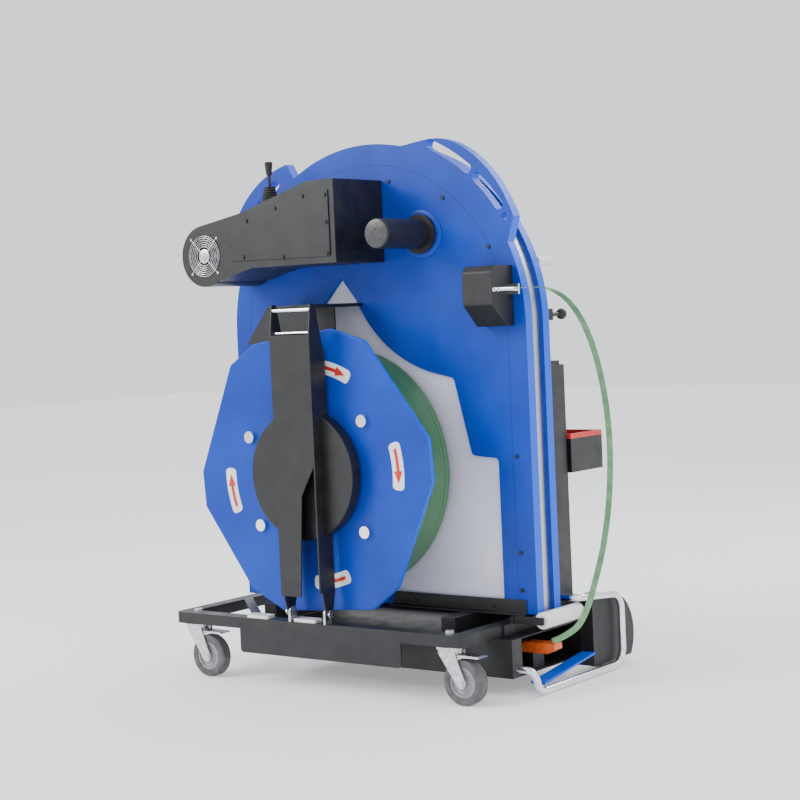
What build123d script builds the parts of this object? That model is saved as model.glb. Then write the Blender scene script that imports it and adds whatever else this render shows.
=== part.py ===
"""Mobile semi automatic strapping machine: wheeled base, chain guide plates, strap coil, clamp arm,
control housing, tool column and chain lance.  Millimetres, +Z up, +Y towards the tool column.
The origin is on the floor, midway along the length and the depth."""
import math
import os

from build123d import *

os.makedirs("parts", exist_ok=True)


def save(part, name):
    """Label a finished piece and write it to its own file."""
    part.label = name
    export_step(part, f"parts/{name}.step")


# ---------------------------------------------------------------- driving dimensions
overall_length = 1013.0
overall_depth = 672.0
x_left = -overall_length / 2
x_right = overall_length / 2
y_front = -overall_depth / 2
y_back = overall_depth / 2
run_gap = 0.05        # radial running clearance of pins and shafts
air = 0.4             # gap between faces that pass each other

# base frame
base_length = 912.0
base_front = y_front + 19.0
base_depth = 453.0
rail_width = 40.0
rail_height = 28.0
rail_bottom = 137.0
rail_wall = 3.0
rail_top = rail_bottom + rail_height
base_left = x_left
base_right = base_left + base_length
base_back = base_front + base_depth
stand_height = 18.0
stand_width = 40.0
stand_depth = 296.0
brace_width = 34.0
brace_thickness = 5.0
apron_sheet = 3.0
apron_drop = 60.0
kick_height = 34.0
kick_left = 40.0
kick_right = 436.0
kick_sheet = 3.0

# guide plates
plate_radius = 458.0
plate_x = 7.5
plate_bottom = rail_top + stand_height
kick_top = plate_bottom + kick_height
arch_height = 879.0
cover_thickness = 12.0
guide_thickness = 18.0
band_width = 45.0
band_thickness = 3.0
band_inset = 10.0
cover_front = -89.0
guide_front = cover_front + cover_thickness
band_front = guide_front + guide_thickness
rear_front = band_front + band_width
rear_thickness = 30.0
rear_back = rear_front + rear_thickness

# handle ears on the two upper corners of the plates: a long one right, a short stepped one left
# each rim is a run of (angle, radius) about the centre of the arch
long_ear_rim = [(77.0, 456.0), (70.0, 480.0), (63.0, 508.0), (54.0, 520.0), (40.0, 515.0), (30.0, 502.0)]
short_ear_rim = [(59.0, 503.0), (46.0, 530.0), (33.0, 532.0)]
ear_shoulder_angle = 24.0
thumb_hole_radius = 9.0
slot_radius = 484.0
slot_width = 24.0

# coil and its flanges
coil_x = -64.5
coil_z = 527.0
coil_radius = 303.0
coil_core_radius = 105.0
core_wall = 6.0
coil_width = 146.0
flange_thickness = 12.0
flange_front = y_front + 70.0
flange_back = flange_front + flange_thickness
coil_front = flange_back + 4.0
coil_back = coil_front + coil_width
rear_flange_thickness = 6.0
shaft_radius = 12.0
bearing_radius = 45.0
drum_radius = coil_core_radius - core_wall - air

# clamp arm
arm_width = 126.0
arm_foot_width = 62.0
arm_depth = 56.0
arm_sheet = 4.0
arm_bottom = 232.0
arm_top = 872.0
arm_left = coil_x - arm_width / 2 + 6.0
arm_back = y_front + arm_depth
ear_top = 946.0
rod_radius = 5.0
disc_radius = 160.0
disc_front = y_front + 29.0
disc_back = y_front + 61.6
hinge_y = y_front + 31.0
hinge_z = 190.0
hinge_pin_radius = 6.0
eye_radius = 13.0
eye_width = 14.0

# control housing
housing_front = y_front + 55.0
housing_right = 55.5
housing_top = 1244.0
housing_bottom = 1042.0
housing_sheet = 3.0
nose_radius = 78.0
nose_x = -374.5
nose_z = 1080.0
shoulder_x = -26.0
shoulder_z = 1240.0
slope_x = -246.0
fan_radius = 54.0
panel_thickness = 3.0
motor_radius = 36.0
motor_x = 172.0
motor_z = 1104.0
motor_length = 181.0

# castors
castor_radius = 54.0
castor_width = 32.0
castor_trail = 40.0
castor_inset = 56.0
castor_y = base_front + 29.0
fork_inside = 36.0
fork_sheet = 3.0
stem_radius = 6.0
axle_radius = 5.0
castor_hub_radius = 36.0

# rear wheels
rear_radius = 78.0
rear_hub_radius = 48.0
rear_width = 46.0
guard_radius = 110.0
guard_width = 65.0
guard_sheet = 3.0
rear_axle_radius = 8.0
rear_wheel_y = y_back - guard_radius
rear_wheel_x = 447.5

# chain lance, its trough and outlet
trough_left = -255.0
trough_right = 449.0
trough_front = base_front + 137.0
trough_back = base_back
trough_bottom = 45.0
trough_sheet = 3.0
end_wall_back = -138.0
chain_y = band_front + band_width / 2
chain_z = 96.0
link_pitch = 24.0
link_count = 26
link_width = 14.0
head_length = 96.0
head_height = 26.0
head_width = 34.0
head_right = 486.0
strip_gap = 0.3

# outlet roller and bumper loop
roller_radius = 20.0
roller_x = 485.0
roller_z = 172.0
roller_near = -103.0
roller_far = 62.0
spindle_radius = 6.0
bumper_radius = 9.0
bumper_x = x_right - bumper_radius
bumper_low = 12.0
bumper_high = 205.0
bumper_corner = 186.0
bumper_near = -165.0
bumper_start = 67.0
bumper_turn = 46.0
bumper_far = 246.0

# tool column
column_width = 70.0
column_depth = 118.0
column_x = 392.0
column_bottom = rail_top
column_top = 770.0
column_sheet = 4.0
column_front = rear_back
carriage_travel = 160.0
carriage_z = 540.0
tray_length = 150.0
tray_width = 120.0
tray_height = 84.0
tray_sheet = 3.0
rim_height = 12.0

# strap box and free strap
box_left = 350.0
box_width = 83.0
box_depth = 90.0
box_bottom = 872.0
box_height = 143.0
pin_radius = 5.0
pin_length = 78.0
strap_radius = 3.0


# ---------------------------------------------------------------- base frame
def bar(x0, x1, y0, y1, z0, z1):
    """A block between two corners, added to the part being built."""
    with Locations(((x0 + x1) / 2, (y0 + y1) / 2, (z0 + z1) / 2)):
        Box(x1 - x0, y1 - y0, z1 - z0)


castor_x = [base_left + castor_inset, base_right - castor_inset]
stand_x = [-300.0, 262.0]
stand_front = base_back - rail_width - stand_depth
apron_left = base_left + 224.0
apron_right = base_left + 732.0
bracket_back = roller_near - 2.0
brace_near_x = base_left + 236.0
brace_far_y = base_front + 223.0

with BuildPart() as base_frame:
    with BuildSketch(Plane.XY.offset(rail_bottom)):
        with Locations(((base_left + base_right) / 2, (base_front + base_back) / 2)):
            RectangleRounded(base_length, base_depth, 18)
            Rectangle(base_length - 2 * rail_width, base_depth - 2 * rail_width, mode=Mode.SUBTRACT)
    extrude(amount=rail_height)
    for x in stand_x:
        bar(x, x + stand_width, base_front + rail_width, base_back - rail_width, rail_bottom, rail_bottom + 10)
        bar(x, x + stand_width, stand_front, base_back - rail_width, rail_bottom, plate_bottom)
    with BuildSketch(Plane.XY.offset(rail_top - brace_thickness)):
        with BuildLine():
            Polyline(
                (brace_near_x, base_front + rail_width),
                (brace_near_x + brace_width, base_front + rail_width),
                (base_left + rail_width, brace_far_y + brace_width),
                (base_left + rail_width, brace_far_y),
                close=True,
            )
        make_face()
    extrude(amount=brace_thickness)
    for x in castor_x:
        with Locations((x, castor_y, rail_bottom + rail_height / 2)):
            Cylinder(stem_radius + run_gap, rail_height + 2, mode=Mode.SUBTRACT)
    # apron welded under the front rail, clear of both castors
    bar(apron_left, apron_right, base_front, base_front + apron_sheet, rail_bottom - apron_drop, rail_bottom)
    fillet(base_frame.edges().filter_by(Axis.Y).group_by(Axis.Z)[0], 10)
    # kick sheet along the foot of the plates
    bar(kick_left, kick_right, cover_front - kick_sheet, cover_front, plate_bottom, kick_top)
    bar(kick_left, kick_right, cover_front - 24, cover_front, plate_bottom, plate_bottom + kick_sheet)
    # bracket and spindle of the outlet roller, on the right-hand rail
    bar(base_right, roller_x + 8, bracket_back - 6, bracket_back, roller_z - 9, roller_z + 9)
    bar(base_right, base_right + 5, bracket_back - 46, bracket_back - 6, rail_bottom, rail_top)
    bar(base_right, base_right + 5, bracket_back - 10, bracket_back, rail_bottom, roller_z + 9)
    with BuildSketch(Plane.XZ.offset(-(bracket_back - 10))) as spindle:
        with Locations((roller_x, roller_z)):
            Circle(spindle_radius)
    extrude(spindle.sketch, amount=-(roller_far - roller_near + 16))
save(base_frame.part, "base_frame")

# trough under the frame: deck, walls and floor, open at the right-hand end
with BuildPart() as chain_trough:
    bar(trough_left, trough_right, trough_front, trough_back, trough_bottom, rail_bottom)
    with Locations(
        (
            (trough_left + trough_right + trough_sheet) / 2,
            (trough_front + trough_back) / 2,
            (trough_bottom + rail_bottom) / 2,
        )
    ):
        Box(
            trough_right - trough_left - trough_sheet,
            trough_back - trough_front - 2 * trough_sheet,
            rail_bottom - trough_bottom - 2 * trough_sheet,
            mode=Mode.SUBTRACT,
        )
    # slide strip that the chain runs on
    bar(
        trough_left + trough_sheet,
        trough_right - 20,
        chain_y - 24,
        chain_y + 24,
        trough_bottom + trough_sheet,
        chain_z - head_height / 2 - strip_gap,
    )
    bar(trough_right - trough_sheet, trough_right, trough_front, end_wall_back, trough_bottom, rail_bottom)
save(chain_trough.part, "chain_trough")

# two pads on the front rail that the folded arm comes down on
pad_x = [coil_x - 162.0, coil_x - 8.0]
pad_size = (70.0, 34.0, 8.0)
with BuildPart() as rest_pads:
    with Locations(*[(x, base_front + rail_width / 2, rail_top + pad_size[2] / 2) for x in pad_x]):
        Box(*pad_size)
    fillet(rest_pads.edges().filter_by(Axis.Z), 6)
save(rest_pads.part, "rest_pads")


# ---------------------------------------------------------------- guide plates
def polar(radius, angle, side=1):
    """A point of the plate outline, measured from the centre of its arch; side -1 is the left half."""
    turn = math.radians(angle)
    return (plate_x + side * radius * math.cos(turn), arch_height + radius * math.sin(turn))


def arch(radius, bottom):
    """Upright plate outline with straight sides and a half-round top, for a sketch in the XZ plane."""
    with Locations((plate_x, (arch_height + bottom) / 2)):
        Rectangle(2 * radius, arch_height - bottom)
    with Locations((plate_x, arch_height)):
        Circle(radius)


def ear(side):
    """Ear that carries the hand slots, on one upper corner: long on the right, short on the left."""
    rim = long_ear_rim if side == 1 else short_ear_rim
    with BuildLine() as outline:
        Spline(*[polar(radius, angle, side) for angle, radius in rim])
        Polyline(
            polar(rim[-1][1], rim[-1][0], side),
            polar(plate_radius - 6, ear_shoulder_angle, side),
            (plate_x, arch_height),
            polar(plate_radius - 30, rim[0][0], side),
            polar(rim[0][1], rim[0][0], side),
        )
    make_face(outline.edges())


def hand_slots(side):
    """Curved hand slots in an ear: two long ones and a thumb hole on the right, one on the left."""
    spans = ((50.5, 65.5), (35.5, 46.5)) if side == 1 else ((38.0, 52.0),)
    for low, high in spans:
        with BuildLine() as centre_line:
            ThreePointArc(*[polar(slot_radius, angle, side) for angle in (high, (low + high) / 2, low)])
        SlotArc(centre_line.wire(), slot_width, mode=Mode.SUBTRACT)
    if side == 1:
        with Locations(polar(slot_radius - 4, 31.6)):
            Circle(thumb_hole_radius, mode=Mode.SUBTRACT)


window_rounding = 12.0
window_corners = [
    (-87.0, 1009.0),
    (-41.0, 951.0),
    (208.0, 760.0),
    (250.0, 750.0),
    (296.0, 562.0),
    (372.0, 556.0),
    (372.0, 209.0),
    (-330.0, 209.0),
    (-300.0, 760.0),
    (-210.0, 878.0),
]


def window_outline():
    """The cover's window: an apex above the coil, a hollow curve down its right side and a step."""
    with BuildLine() as outline:
        Line(window_corners[0], window_corners[1])
        ThreePointArc(window_corners[1], (62.0, 825.0), window_corners[2])
        Polyline(*window_corners[2:], window_corners[0])
    with BuildSketch() as opening:
        make_face(outline.edges())
        stepped = [corner for corner in opening.vertices() if corner.X > 240]
        fillet(stepped, window_rounding)
    return opening.sketch


# thick cover plate in front: the ears with their hand slots, and a window behind the coil
with BuildPart() as front_cover_plate:
    with BuildSketch(Plane.XZ.offset(-cover_front)):
        arch(plate_radius, plate_bottom)
        for side in (1, -1):
            ear(side)
        for side in (1, -1):
            hand_slots(side)
        add(window_outline(), mode=Mode.SUBTRACT)
    extrude(amount=-cover_thickness)
save(front_cover_plate.part, "front_cover_plate")

# front guide plate, which carries the bearing and the white panel
with BuildPart() as front_guide_plate:
    with BuildSketch(Plane.XZ.offset(-guide_front)):
        arch(plate_radius, plate_bottom)
        for side in (1, -1):
            ear(side)
        for side in (1, -1):
            hand_slots(side)
    extrude(amount=-guide_thickness)
save(front_guide_plate.part, "front_guide_plate")

# bright steel band that closes the chain channel between the plates
band_radius = plate_radius - band_inset
with BuildPart() as steel_band:
    with BuildSketch(Plane.XZ.offset(-band_front)):
        arch(band_radius, plate_bottom)
        with BuildSketch(mode=Mode.SUBTRACT):
            arch(band_radius - band_thickness, plate_bottom)
    extrude(amount=-band_width)
save(steel_band.part, "steel_band")

with BuildPart() as rear_guide_plate:
    with BuildSketch(Plane.XZ.offset(-rear_front)):
        arch(plate_radius, plate_bottom)
    extrude(amount=-rear_thickness)
    fillet(rear_guide_plate.faces().sort_by(Axis.Y)[-1].outer_wire().edges(), 3)
save(rear_guide_plate.part, "rear_guide_plate")

# white sheet in the window, behind the coil
panel_inset = 2.0
panel_sheet = 3.0
with BuildPart() as white_panel:
    with BuildSketch(Plane.XZ.offset(-(guide_front - panel_sheet))):
        add(window_outline())
        offset(amount=-panel_inset, kind=Kind.INTERSECTION)
        with Locations((coil_x, coil_z)):
            Circle(bearing_radius + 1, mode=Mode.SUBTRACT)
    extrude(amount=-panel_sheet)
save(white_panel.part, "white_panel")

# ---------------------------------------------------------------- coil, flanges and their bearing
coil_axis = Plane.XZ.offset(-coil_front)


def around_coil(radius, angle):
    """A point at a radius and an angle about the coil's axis."""
    turn = math.radians(angle)
    return (coil_x + radius * math.cos(turn), coil_z + radius * math.sin(turn))


def disc(plane, radius, depth, bore=0.0):
    """A round disc about the coil's axis, growing towards +Y from the plane."""
    with BuildSketch(plane) as face:
        with Locations((coil_x, coil_z)):
            Circle(radius)
            if bore:
                Circle(bore, mode=Mode.SUBTRACT)
    extrude(face.sketch, amount=-depth)


with BuildPart() as strap_coil:
    disc(coil_axis, coil_radius, coil_width, coil_core_radius)
    fillet(strap_coil.edges().filter_by(GeomType.CIRCLE).sort_by(SortBy.RADIUS)[-2:], 4)
save(strap_coil.part, "strap_coil")

with BuildPart() as coil_core:
    disc(coil_axis, coil_core_radius, coil_width, coil_core_radius - core_wall)
save(coil_core.part, "coil_core")

# drum: a rear flange with a hub, four arms and a ring that centre the core
drum_depth = 90.0
drum_wall = 5.0
hub_radius = 40.0
drum_front = Plane.XZ.offset(-(coil_back - drum_depth))
with BuildPart() as coil_drum:
    disc(Plane.XZ.offset(-coil_back), coil_radius - 13, rear_flange_thickness, shaft_radius)
    disc(drum_front, hub_radius, drum_depth, shaft_radius)
    disc(drum_front, drum_radius, drum_depth, drum_radius - drum_wall)
    with BuildSketch(drum_front):
        with Locations((coil_x, coil_z)):
            with PolarLocations((hub_radius + drum_radius - drum_wall) / 2, 4):
                Rectangle(drum_radius - drum_wall - hub_radius + 4, 16)
    extrude(amount=-drum_depth)
save(coil_drum.part, "coil_drum")

# shaft fixed in the drum, running in the bearing block on the guide plate
bearing_front = coil_back + rear_flange_thickness + air
bearing_depth = guide_front - bearing_front
with BuildPart() as drum_shaft:
    disc(drum_front, shaft_radius, guide_front - (coil_back - drum_depth) - air)
save(drum_shaft.part, "drum_shaft")

with BuildPart() as bearing_block:
    disc(Plane.XZ.offset(-bearing_front), bearing_radius, bearing_depth, shaft_radius + run_gap)
save(bearing_block.part, "bearing_block")

# twelve-cornered front flange, which turns on a stub fixed to the arm's disc
flange_corners = [
    (-2.0, 366.0),
    (14.0, 370.0),
    (61.0, 371.0),
    (78.0, 364.0),
    (118.0, 368.0),
    (133.0, 373.0),
    (180.0, 368.0),
    (194.0, 373.0),
    (234.0, 365.0),
    (252.0, 364.0),
    (298.0, 370.0),
    (313.0, 367.0),
]
flange_rounding = 14.0
boss_radius = 62.0
boss_depth = 30.0
boss_tip_radius = 44.0
stub_radius = 14.0
bolt_circle = 214.0
bolt_angles = [38.0, 155.0, 218.0, 320.0]
bolt_radius = 8.0
with BuildPart() as front_flange:
    with BuildSketch(Plane.XZ.offset(-flange_front)) as flange_outline:
        Polygon(*[around_coil(radius, angle) for angle, radius in flange_corners], align=None)
        fillet(flange_outline.vertices(), flange_rounding)
        with Locations((coil_x, coil_z)):
            Circle(stub_radius + run_gap, mode=Mode.SUBTRACT)
        with Locations(*[around_coil(bolt_circle, angle) for angle in bolt_angles]):
            Circle(bolt_radius, mode=Mode.SUBTRACT)
    extrude(amount=-flange_thickness)
    fillet(front_flange.faces().sort_by(Axis.Y)[0].outer_wire().edges(), 2.5)
save(front_flange.part, "front_flange")

# tapered boss on the back of the flange, which finds the middle of the core
with BuildPart() as flange_boss:
    with BuildSketch(Plane.XZ.offset(-flange_back)):
        with Locations((coil_x, coil_z)):
            Circle(boss_radius)
    with BuildSketch(Plane.XZ.offset(-(flange_back + boss_depth))):
        with Locations((coil_x, coil_z)):
            Circle(boss_tip_radius)
    loft()
    with BuildSketch(Plane.XZ.offset(-flange_back)):
        with Locations((coil_x, coil_z)):
            Circle(stub_radius + run_gap)
    extrude(amount=-(boss_depth - 6), mode=Mode.SUBTRACT)
save(flange_boss.part, "flange_boss")

# knurled bolts through the flange
bolt_head_radius = 15.0
bolt_head = 10.0
with BuildPart() as flange_bolts:
    for angle in bolt_angles:
        place = around_coil(bolt_circle, angle)
        with BuildSketch(Plane.XZ.offset(-flange_front)):
            with Locations(place):
                Circle(bolt_radius)
        extrude(amount=-flange_thickness)
        with BuildSketch(Plane.XZ.offset(-flange_front)):
            with Locations(place):
                Circle(bolt_head_radius)
        extrude(amount=bolt_head)
save(flange_bolts.part, "flange_bolts")

# ---------------------------------------------------------------- clamp arm
arm_right = arm_left + arm_width
neck_z = 480.0
waist_z = 560.0


def arm_leg(x, bottom):
    """One side leg of the arm: straight sides, a slanted ear on top and a rounded foot at the hinge."""
    with BuildSketch(Plane.YZ.offset(x)) as leg:
        Polygon(
            (y_front, bottom),
            (y_front, arm_top),
            (y_front + 10, ear_top),
            (y_front + 26, ear_top),
            (arm_back, arm_top - 60),
            (arm_back, bottom),
            align=None,
        )
        Polygon(
            (y_front + 8, bottom + 1),
            (hinge_y - eye_radius, hinge_z),
            (hinge_y + eye_radius, hinge_z),
            (arm_back, bottom + 1),
            align=None,
        )
        with Locations((hinge_y, hinge_z)):
            Circle(eye_radius)
    extrude(leg.sketch, amount=arm_sheet)


with BuildPart() as clamp_arm:
    with BuildSketch(Plane.XZ.offset(-y_front)):
        with BuildLine():
            Polyline(
                (arm_left, arm_bottom),
                (arm_left + arm_foot_width, arm_bottom),
                (arm_left + arm_foot_width + 18, neck_z),
                (arm_right, waist_z),
                (arm_right, arm_top),
                (arm_left, arm_top),
                close=True,
            )
        make_face()
    extrude(amount=-arm_sheet)
    arm_leg(arm_left, arm_bottom)
    arm_leg(arm_right - arm_sheet, arm_bottom + 12)
    with BuildSketch(Plane.YZ.offset(arm_left)):
        with Locations((hinge_y, hinge_z)):
            Circle(hinge_pin_radius + run_gap)
    extrude(amount=arm_width, mode=Mode.SUBTRACT)
    with BuildSketch(Plane.XZ.offset(-disc_front)):
        with Locations((coil_x, coil_z)):
            Circle(disc_radius + run_gap)
    extrude(amount=-(arm_back - disc_front + 1), mode=Mode.SUBTRACT)
save(clamp_arm.part, "clamp_arm")

# two bright rods across the ears, gripped to swing the arm
rod_z = [arm_top + 4.0, ear_top - 14.0]
with BuildPart() as grip_rods:
    for z in rod_z:
        with BuildSketch(Plane.YZ.offset(arm_left + arm_sheet)):
            with Locations((y_front + 14, z)):
                Circle(rod_radius)
        extrude(amount=arm_width - 2 * arm_sheet)
save(grip_rods.part, "grip_rods")

# friction disc behind the arm, with the stub that the flange turns on
with BuildPart() as brake_disc:
    disc(Plane.XZ.offset(-disc_front), disc_radius, disc_back - disc_front)
    with BuildSketch(Plane.XZ.offset(-(y_front + arm_sheet))):
        with Locations((coil_x, coil_z)):
            Circle(stub_radius)
    extrude(amount=-(flange_back + boss_depth - 8 - y_front - arm_sheet))
    fillet(brake_disc.edges().filter_by(GeomType.CIRCLE).sort_by(SortBy.RADIUS)[-2:], 2)
save(brake_disc.part, "brake_disc")

# brackets on the front rail, with the pins that the arm's feet turn on
bracket_sheet = 6.0
bracket_x = [arm_left + arm_sheet + air, arm_right - arm_sheet - air - bracket_sheet]
pin_reach = arm_sheet + air + 6.0
with BuildPart() as hinge_brackets:
    for x, outward in zip(bracket_x, (-1, 1)):
        with BuildSketch(Plane.YZ.offset(x)) as cheek:
            with Locations((hinge_y, hinge_z)):
                Circle(eye_radius)
            with Locations((hinge_y, (hinge_z + rail_top) / 2)):
                Rectangle(2 * eye_radius, hinge_z - rail_top)
        extrude(cheek.sketch, amount=bracket_sheet)
        outer = x if outward < 0 else x + bracket_sheet
        with BuildSketch(Plane.YZ.offset(outer)) as pin:
            with Locations((hinge_y, hinge_z)):
                Circle(hinge_pin_radius)
        extrude(pin.sketch, amount=outward * pin_reach)
        with BuildSketch(Plane.YZ.offset(outer + outward * (arm_sheet + 2 * air))) as nut:
            with Locations((hinge_y, hinge_z)):
                RegularPolygon(11, 6)
        extrude(nut.sketch, amount=outward * 6)
save(hinge_brackets.part, "hinge_brackets")

# catch on the guide plates that holds the top of the arm shut
catch_z = 936.0
catch_sheet = 8.0
catch_front = arm_back + 0.6
catch_plate_y = -206.0
catch_back = cover_front
catch_tongue = (-110.0, -20.0)
catch_left = -236.0
with BuildPart() as arm_catch:
    bar(catch_left, catch_tongue[1], catch_plate_y, catch_back, catch_z, catch_z + catch_sheet)
    bar(*catch_tongue, catch_front, catch_plate_y, catch_z, catch_z + catch_sheet)
    with BuildSketch(Plane.XZ.offset(-catch_plate_y)) as wing:
        Polygon(
            (catch_left, catch_z + catch_sheet),
            (catch_tongue[1], catch_z + catch_sheet),
            (catch_tongue[1], 850.0),
            (catch_left - 76, 850.0),
            align=None,
        )
    extrude(wing.sketch, amount=-6)
save(arm_catch.part, "arm_catch")

# ---------------------------------------------------------------- control housing
def housing_outline(inset):
    """Face of the housing in the XZ plane: a square end, a sloping top and a round nose."""
    tangent = math.radians(104)
    reach = nose_radius - inset
    top = (nose_x + reach * math.cos(tangent), nose_z + reach * math.sin(tangent))
    low = math.radians(-58)
    under = (nose_x + reach * math.cos(low), nose_z + reach * math.sin(low))
    Polygon(
        (housing_right - inset, housing_bottom + inset),
        (housing_right - inset, housing_top - inset),
        (shoulder_x - inset * 0.3, housing_top - inset),
        (slope_x, 1181.0 - inset),
        top,
        (nose_x, nose_z),
        under,
        (slope_x + 30, housing_bottom + inset),
        align=None,
    )
    with Locations((nose_x, nose_z)):
        Circle(reach)


with BuildPart() as control_housing:
    with BuildSketch(Plane.XZ.offset(-housing_front)) as shell:
        housing_outline(0)
    extrude(shell.sketch, amount=-(cover_front - housing_front))
    with BuildSketch(Plane.XZ.offset(-(housing_front + housing_sheet))) as hollow:
        housing_outline(housing_sheet)
    extrude(hollow.sketch, amount=-(cover_front - housing_front - housing_sheet + 1), mode=Mode.SUBTRACT)
    with BuildSketch(Plane.XZ.offset(-(housing_front - 1))) as outlet:
        with Locations((nose_x, nose_z)):
            Circle(fan_radius)
    extrude(outlet.sketch, amount=-(housing_sheet + 2), mode=Mode.SUBTRACT)
    with Locations((-235.0, (housing_front + cover_front) / 2, housing_top - 40)):
        Cylinder(13, 60, mode=Mode.SUBTRACT)
save(control_housing.part, "control_housing")

# screwed panel on the front of the housing
panel_edge = 16.0
panel_left = -286.0
panel_points = [
    (housing_right - panel_edge, housing_bottom + panel_edge),
    (housing_right - panel_edge, housing_top - panel_edge - 8),
    (shoulder_x, housing_top - panel_edge - 10),
    (panel_left, 1148.0),
    (panel_left, housing_bottom + panel_edge + 4),
]
with BuildPart() as housing_panel:
    with BuildSketch(Plane.XZ.offset(-(housing_front - panel_thickness))) as sheet:
        Polygon(*panel_points, align=None)
        fillet(sheet.vertices(), 6)
    extrude(sheet.sketch, amount=-panel_thickness)
save(housing_panel.part, "housing_panel")

# domed screws of the housing panel, the guide plates and the kick plate
screw_radius = 5.0
screw_head = 3.0
panel_screws = [(30, 1066), (30, 1140), (30, 1206), (-40, 1208), (-130, 1185), (-225, 1160), (-240, 1070), (-110, 1064)]
plate_screws = [(240, 1188), (368, 1062), (78, 1240), (425, 560), (425, 330), (425, 240)]
kick_screws = [(105, kick_top - 18), (340, kick_top - 18)]
with BuildPart() as dome_screws:
    for places, face in (
        (panel_screws, housing_front - panel_thickness),
        (plate_screws, cover_front),
        (kick_screws, cover_front - kick_sheet),
    ):
        with BuildSketch(Plane.XZ.offset(-face)) as heads:
            with Locations(*places):
                Circle(screw_radius)
        extrude(heads.sketch, amount=screw_head)
save(dome_screws.part, "dome_screws")

# wire guard over the cooling fan, and the fan behind it
ring_step = 11.0
wire = 2.4
with BuildPart() as fan_guard:
    with BuildSketch(Plane.XZ.offset(-housing_front)) as rings:
        for ring in range(4):
            with Locations((nose_x, nose_z)):
                Circle(fan_radius + 2 - ring * ring_step)
                Circle(fan_radius + 2 - ring * ring_step - wire, mode=Mode.SUBTRACT)
        with Locations((nose_x, nose_z)):
            Circle(12)
            with Locations(Rotation(0, 0, 45), Rotation(0, 0, 135)):
                Rectangle(2 * fan_radius + 20, wire)
    extrude(rings.sketch, amount=wire)
save(fan_guard.part, "fan_guard")

fan_depth = 16.0
fan_front = housing_front + housing_sheet + 3.0
with BuildPart() as fan_rotor:
    with BuildSketch(Plane.XZ.offset(-fan_front)) as rotor:
        with Locations((nose_x, nose_z)):
            Circle(16)
            with PolarLocations(31, 7):
                Rectangle(34, 13)
    extrude(rotor.sketch, amount=-fan_depth)
    with BuildSketch(Plane.XZ.offset(-fan_front)) as bore:
        with Locations((nose_x, nose_z)):
            Circle(4 + run_gap)
    extrude(bore.sketch, amount=-fan_depth, mode=Mode.SUBTRACT)
save(fan_rotor.part, "fan_rotor")

# fan motor, on three struts inside the nose
with BuildPart() as fan_motor:
    with BuildSketch(Plane.XZ.offset(-(fan_front + 2))) as spindle:
        with Locations((nose_x, nose_z)):
            Circle(4)
    extrude(spindle.sketch, amount=-(fan_depth + 4))
    with BuildSketch(Plane.XZ.offset(-(fan_front + fan_depth + 1))) as frame:
        with Locations((nose_x, nose_z)):
            Circle(18)
            Rectangle(2 * (nose_radius - housing_sheet) - 1, 8)
    extrude(frame.sketch, amount=-10)
save(fan_motor.part, "fan_motor")

# control stick: a collar on the sloping top, a rubber boot and a lever that tips two ways
stick_x = -236.0
stick_y = -176.0
stick_z = 1188.0
collar_height = 26.0
ball_radius = 7.0
boot_height = 34.0
with BuildPart() as stick_collar:
    with Locations((stick_x, stick_y, stick_z)):
        Cylinder(24, collar_height, align=(Align.CENTER, Align.CENTER, Align.MIN))
        Cylinder(ball_radius + run_gap, 3 * collar_height, mode=Mode.SUBTRACT)
    with BuildSketch(Plane.XZ.offset(-(stick_y - 40))) as under:
        Polygon((stick_x - 60, 1100.0), (stick_x + 60, 1100.0), (stick_x + 60, 1199.8), (stick_x - 60, 1170.8), align=None)
    extrude(under.sketch, amount=-80, mode=Mode.SUBTRACT)
save(stick_collar.part, "stick_collar")

boot_bottom = stick_z + collar_height
with BuildPart() as stick_boot:
    with Locations((stick_x, stick_y, boot_bottom)):
        Cone(23, 17, boot_height, align=(Align.CENTER, Align.CENTER, Align.MIN))
        Cone(21, 15, boot_height, align=(Align.CENTER, Align.CENTER, Align.MIN), mode=Mode.SUBTRACT)
save(stick_boot.part, "stick_boot")

lever_top = 1312.0
lever_bottom = boot_bottom + ball_radius + 0.3
with BuildPart() as stick_ball:
    with Locations((stick_x, stick_y, boot_bottom)):
        Sphere(ball_radius)
save(stick_ball.part, "stick_ball")

with BuildPart() as stick_lever:
    with Locations((stick_x, stick_y, lever_bottom)):
        Cylinder(4, lever_top - lever_bottom - 4, align=(Align.CENTER, Align.CENTER, Align.MIN))
    with Locations((stick_x, stick_y, lever_top - 34)):
        Cone(7, 11, 34, align=(Align.CENTER, Align.CENTER, Align.MIN))
    fillet(stick_lever.edges().sort_by(Axis.Z)[-1], 4)
save(stick_lever.part, "stick_lever")

# chain drive motor on the cover plate, to the right of the housing
with BuildPart() as drive_motor:
    with BuildSketch(Plane.XZ.offset(-(cover_front - motor_length))) as barrel:
        with Locations((motor_x, motor_z)):
            Circle(motor_radius)
    extrude(barrel.sketch, amount=-motor_length)
    fillet(drive_motor.edges().filter_by(GeomType.CIRCLE).sort_by(Axis.Y)[0], 4)
    with BuildSketch(Plane.XZ.offset(-(cover_front - 14))) as collar:
        with Locations((motor_x, motor_z)):
            Circle(motor_radius + 12)
    extrude(collar.sketch, amount=-14)
save(drive_motor.part, "drive_motor")

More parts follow.
